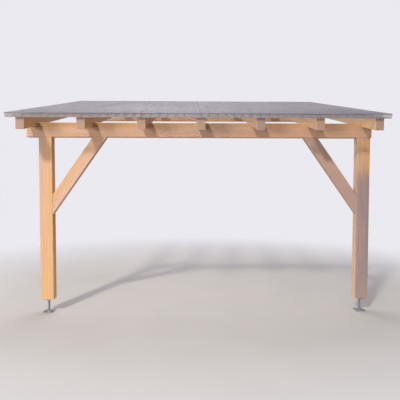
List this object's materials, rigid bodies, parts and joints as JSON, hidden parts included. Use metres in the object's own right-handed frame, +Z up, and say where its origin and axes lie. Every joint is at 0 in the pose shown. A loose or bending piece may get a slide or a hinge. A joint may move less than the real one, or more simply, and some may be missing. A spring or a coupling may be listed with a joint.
{
  "type": "lean-to wooden pergola",
  "caption": "Lean-to timber pergola that covers a terrace: posts with knee braces carry a beam, and rafters between it and a wall ledger hold a roof of hollow translucent panels.",
  "frame": {"origin": "middle of the wall ledger's back face, which rests on the wall", "axes": "+X along the wall to the right as seen from the front, +Y into the wall, +Z up"},
  "size_m": [4.37, 3.5106, 3.1355],
  "materials": {
    "posts": "planed softwood with a thin honey stain",
    "beam": "planed softwood with a thin honey stain",
    "braces": "planed softwood with a thin honey stain",
    "rafters": "planed softwood with a thin honey stain",
    "ledger": "planed softwood with a thin honey stain",
    "roof_panels": "smoke grey translucent hollow panel",
    "post_bases": "hot-dip galvanised"
  },
  "bodies": {
    "root": {"left_post": "posts", "right_post": "posts", "left_post_base": "post_bases", "right_post_base": "post_bases", "front_beam": "beam", "left_brace": "braces", "right_brace": "braces", "rafter_1": "rafters", "rafter_2": "rafters", "rafter_3": "rafters", "rafter_4": "rafters", "rafter_5": "rafters", "rafter_6": "rafters", "rafter_7": "rafters", "wall_ledger": "ledger", "roof_panel_1": "roof_panels", "roof_panel_2": "roof_panels", "roof_panel_3": "roof_panels", "roof_panel_4": "roof_panels", "roof_panel_5": "roof_panels", "roof_panel_6": "roof_panels"}
  },
  "joints": []
}
